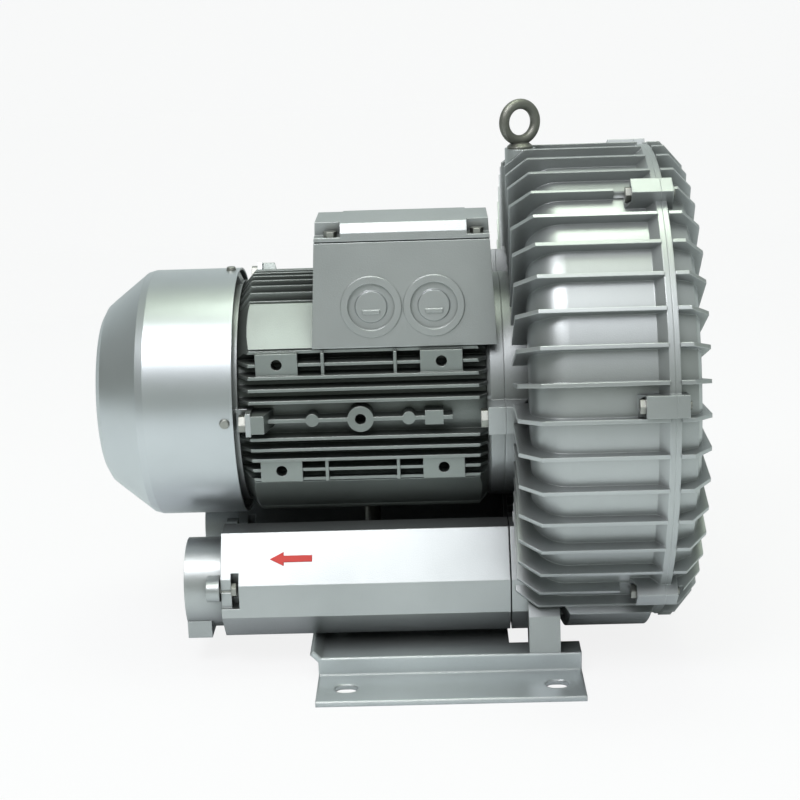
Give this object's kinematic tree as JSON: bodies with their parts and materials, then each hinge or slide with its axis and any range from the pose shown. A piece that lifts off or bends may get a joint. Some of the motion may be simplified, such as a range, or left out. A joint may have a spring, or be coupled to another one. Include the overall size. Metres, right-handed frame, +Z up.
{
  "type": "side-channel blower",
  "caption": "Motor-driven side-channel blower with a finned round casing, terminal box, silencers under the motor, slotted base plate and lifting eye.",
  "frame": {"origin": "centre of the four floor slots of the base plate, on the floor plane", "axes": "+X along the shaft from the fan cowl to the blower cover, +Y to the rear, +Z up"},
  "size_m": [0.46, 0.3869, 0.4272],
  "materials": {
    "grey_casting": "silver-grey sprayed paint on cast aluminium, satin",
    "grey_sheet": "silver-grey powder coat on steel sheet",
    "bare_aluminium": "bare machined casting",
    "steel": "zinc plated or ground steel",
    "laminations": "stacked sheet steel",
    "copper": "varnished copper wire",
    "brass": "bright brass",
    "black_plastic": "moulded, matte",
    "cage_plastic": "glass-filled polyamide",
    "black_rubber": "moulded sheet rubber",
    "foam": "open-cell acoustic foam"
  },
  "bodies": {
    "machine": {"base_plate": "grey_sheet", "base_screws": "steel", "blower_cover": "grey_casting", "blower_housing": "grey_casting", "box_gasket": "black_rubber", "box_screws": "steel", "casing_gasket_front": "black_rubber", "casing_gasket_rear": "black_rubber", "cowl_screws": "steel", "drive_bearing_outer_ring": "steel", "drive_end_shield": "grey_casting", "eye_bolt": "steel", "fan_bearing_outer_ring": "steel", "fan_cowl": "grey_sheet", "fan_end_shield": "grey_casting", "flange_screws": "steel", "joint_screws": "steel", "lid_gasket": "black_rubber", "lid_screws": "steel", "motor_frame": "grey_casting", "port_flange_front": "grey_casting", "port_flange_rear": "grey_casting", "port_gasket_front": "black_rubber", "port_gasket_rear": "black_rubber", "port_screws": "steel", "shaft_seal": "black_rubber", "shield_screws": "steel", "silencer_foam_front": "foam", "silencer_foam_rear": "foam", "silencer_front": "grey_casting", "silencer_rear": "grey_casting", "silencer_tube_front": "steel", "silencer_tube_rear": "steel", "stator_core": "laminations", "support_post": "steel", "terminal_board": "black_plastic", "terminal_box": "grey_casting", "terminal_lid": "grey_casting", "terminal_links": "brass", "terminal_nuts": "brass", "terminal_studs": "brass", "wave_spring": "steel", "winding_head_drive_side": "copper", "winding_head_fan_side": "copper"},
    "rotor": {"shaft": "steel", "rotor_core": "laminations", "impeller": "bare_aluminium", "impeller_key": "steel", "impeller_washer": "steel", "impeller_screw": "steel", "drive_bearing_inner_ring": "steel", "fan_bearing_inner_ring": "steel", "cooling_fan": "black_plastic", "fan_circlip": "steel"},
    "drive_cage": {"drive_bearing_cage": "cage_plastic", "drive_bearing_balls": "steel"},
    "fan_cage": {"fan_bearing_cage": "cage_plastic", "fan_bearing_balls": "steel"}
  },
  "joints": [
    {"name": "rotor_spin", "type": "hinge", "parent": "machine", "child": "rotor", "pos_m": [0, 0, 0.2], "axis": [1, 0, 0], "continuous": true},
    {"name": "drive_cage_spin", "type": "hinge", "parent": "machine", "child": "drive_cage", "pos_m": [0.036, 0, 0.2], "axis": [1, 0, 0], "continuous": true},
    {"name": "fan_cage_spin", "type": "hinge", "parent": "machine", "child": "fan_cage", "pos_m": [-0.141, 0, 0.2], "axis": [1, 0, 0], "continuous": true}
  ],
  "couplings": [
    {"joint": "drive_cage_spin", "follows": "rotor_spin", "ratio": 0.4},
    {"joint": "fan_cage_spin", "follows": "rotor_spin", "ratio": 0.4}
  ]
}
